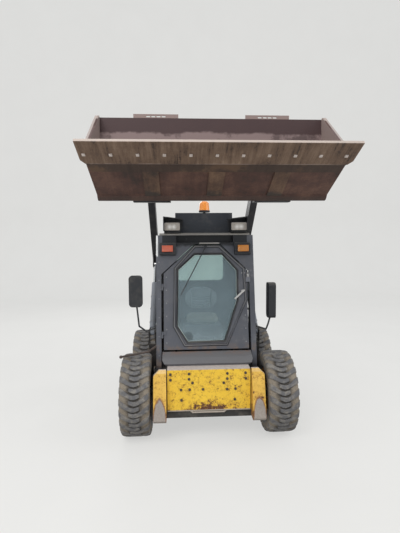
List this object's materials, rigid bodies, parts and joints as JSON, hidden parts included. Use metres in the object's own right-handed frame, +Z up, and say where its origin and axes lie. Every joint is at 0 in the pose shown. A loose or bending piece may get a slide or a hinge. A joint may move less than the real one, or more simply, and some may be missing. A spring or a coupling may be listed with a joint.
{
  "type": "skid steer loader",
  "caption": "Compact wheeled loader with a hollow caged cab, lugged tyres, raised lift arms on cylinders and a rolled back earth bucket.",
  "frame": {"origin": "middle of the footprint of the overall box, on the ground", "axes": "+X to the picture's right, the machine's left side is at +X; +Y to the machine's rear; +Z up"},
  "size_m": [1.91, 3.4338, 3.059],
  "materials": {
    "yellow_paint": "worn semi-gloss",
    "dark_paint": "dusty satin",
    "boom_paint": "satin",
    "engine_iron": "rough",
    "mesh_steel": "satin",
    "green_glass": "clear",
    "vinyl": "satin",
    "black_plastic": "matte",
    "clear_lens": "ribbed",
    "orange_lens": "gloss",
    "amber_lens": "gloss",
    "tyre": "muddy",
    "rim_rust": "rusty",
    "rusty_steel": "rusty",
    "worn_steel": "worn",
    "cylinder_grey": "satin",
    "rod_chrome": "polished"
  },
  "bodies": {
    "chassis": {"frame": "dark_paint", "axle_sleeves": "dark_paint", "front_plate": "yellow_paint", "boom_stops": "yellow_paint", "sill_panel": "dark_paint", "towers": "dark_paint", "lift_brackets": "dark_paint", "engine": "engine_iron", "bumper": "dark_paint", "cab_frame": "dark_paint", "roof": "dark_paint", "side_screens": "mesh_steel", "rear_window": "green_glass", "cab_floor": "dark_paint", "seat_base": "dark_paint", "seat": "vinyl", "levers": "black_plastic", "work_lamps": "black_plastic", "lamp_lenses": "clear_lens", "indicators": "black_plastic", "indicator_lenses": "orange_lens", "sign_plate": "black_plastic", "beacon": "black_plastic", "beacon_lens": "amber_lens", "mirrors": "black_plastic"},
    "boom": {"arm_left": "boom_paint", "arm_right": "boom_paint", "cross_tube": "boom_paint"},
    "bucket": {"bucket": "rusty_steel", "cutting_edge": "worn_steel", "wear_straps": "rusty_steel", "coupler": "dark_paint"},
    "door": {"door": "dark_paint", "door_glass": "green_glass", "door_handle": "worn_steel", "wiper": "black_plastic"},
    "hood": {"hood": "dark_paint"},
    "rear_door": {"rear_door": "dark_paint"},
    "wheel_fl": {"tyre_fl": "tyre", "rim_fl": "rim_rust"},
    "wheel_fr": {"tyre_fr": "tyre", "rim_fr": "rim_rust"},
    "wheel_rl": {"tyre_rl": "tyre", "rim_rl": "rim_rust"},
    "wheel_rr": {"tyre_rr": "tyre", "rim_rr": "rim_rust"},
    "lift_barrel_left": {"lift_barrel_left": "cylinder_grey"},
    "lift_rod_left": {"lift_rod_left": "rod_chrome"},
    "tilt_barrel_left": {"tilt_barrel_left": "cylinder_grey"},
    "tilt_rod_left": {"tilt_rod_left": "rod_chrome"},
    "lift_barrel_right": {"lift_barrel_right": "cylinder_grey"},
    "lift_rod_right": {"lift_rod_right": "rod_chrome"},
    "tilt_barrel_right": {"tilt_barrel_right": "cylinder_grey"},
    "tilt_rod_right": {"tilt_rod_right": "rod_chrome"}
  },
  "joints": [
    {"name": "wheel_fl_spin", "type": "hinge", "parent": "chassis", "child": "wheel_fl", "pos_m": [-0.732, -0.27, 0.415], "axis": [1, 0, 0], "continuous": true},
    {"name": "wheel_fr_spin", "type": "hinge", "parent": "chassis", "child": "wheel_fr", "pos_m": [0.732, -0.27, 0.415], "axis": [1, 0, 0], "continuous": true},
    {"name": "wheel_rl_spin", "type": "hinge", "parent": "chassis", "child": "wheel_rl", "pos_m": [-0.732, 0.83, 0.415], "axis": [1, 0, 0], "continuous": true},
    {"name": "wheel_rr_spin", "type": "hinge", "parent": "chassis", "child": "wheel_rr", "pos_m": [0.732, 0.83, 0.415], "axis": [1, 0, 0], "continuous": true},
    {"name": "boom_lift", "type": "hinge", "parent": "chassis", "child": "boom", "pos_m": [0, 1.47, 1.441], "axis": [-1, 0, 0], "range_deg": [-50.7, 0]},
    {"name": "bucket_tilt", "type": "hinge", "parent": "boom", "child": "bucket", "pos_m": [0, -0.96, 2.45], "axis": [1, 0, 0], "range_deg": [-40, 64]},
    {"name": "lift_barrel_left_pivot", "type": "hinge", "parent": "chassis", "child": "lift_barrel_left", "pos_m": [-0.6, 0.16, 0.96], "axis": [1, 0, 0], "range_deg": [-26.43, 0.5]},
    {"name": "lift_rod_left_slide", "type": "slide", "parent": "lift_barrel_left", "child": "lift_rod_left", "axis": [0, 0.7278, 0.6858], "range_m": [-0.271, 0.002]},
    {"name": "tilt_barrel_left_pivot", "type": "hinge", "parent": "boom", "child": "tilt_barrel_left", "pos_m": [-0.5, -0.33152, 2.84117], "axis": [1, 0, 0], "range_deg": [-4.7, 3.1]},
    {"name": "tilt_rod_left_slide", "type": "slide", "parent": "tilt_barrel_left", "child": "tilt_rod_left", "axis": [0, -0.9109, -0.4127], "range_m": [-0.0666, 0.1053]},
    {"name": "lift_barrel_right_pivot", "type": "hinge", "parent": "chassis", "child": "lift_barrel_right", "pos_m": [0.6, 0.16, 0.96], "axis": [1, 0, 0], "range_deg": [-26.43, 0.5]},
    {"name": "lift_rod_right_slide", "type": "slide", "parent": "lift_barrel_right", "child": "lift_rod_right", "axis": [0, 0.7278, 0.6858], "range_m": [-0.271, 0.002]},
    {"name": "tilt_barrel_right_pivot", "type": "hinge", "parent": "boom", "child": "tilt_barrel_right", "pos_m": [0.5, -0.33152, 2.84117], "axis": [1, 0, 0], "range_deg": [-4.7, 3.1]},
    {"name": "tilt_rod_right_slide", "type": "slide", "parent": "tilt_barrel_right", "child": "tilt_rod_right", "axis": [0, -0.9109, -0.4127], "range_m": [-0.0666, 0.1053]},
    {"name": "cab_door_hinge", "type": "hinge", "parent": "chassis", "child": "door", "pos_m": [-0.47, -0.153, 1.25174], "axis": [0, -0.1892, -0.9819], "range_deg": [0, 95]},
    {"name": "hood_hinge", "type": "hinge", "parent": "chassis", "child": "hood", "pos_m": [0, 1.045, 1.3], "axis": [1, 0, 0], "range_deg": [0, 60]},
    {"name": "rear_door_hinge", "type": "hinge", "parent": "chassis", "child": "rear_door", "pos_m": [0.557, 1.638, 0.9], "axis": [0, 0, -1], "range_deg": [0, 100]}
  ],
  "couplings": [
    {"joint": "lift_barrel_left_pivot", "follows": "boom_lift", "ratio": 0.51152},
    {"joint": "lift_rod_left_slide", "follows": "boom_lift", "m_per_rad": 0.30397},
    {"joint": "tilt_barrel_left_pivot", "follows": "bucket_tilt", "ratio": -0.065},
    {"joint": "tilt_rod_left_slide", "follows": "bucket_tilt", "m_per_rad": 0.0925},
    {"joint": "lift_barrel_right_pivot", "follows": "boom_lift", "ratio": 0.51152},
    {"joint": "lift_rod_right_slide", "follows": "boom_lift", "m_per_rad": 0.30397},
    {"joint": "tilt_barrel_right_pivot", "follows": "bucket_tilt", "ratio": -0.065},
    {"joint": "tilt_rod_right_slide", "follows": "bucket_tilt", "m_per_rad": 0.0925}
  ]
}
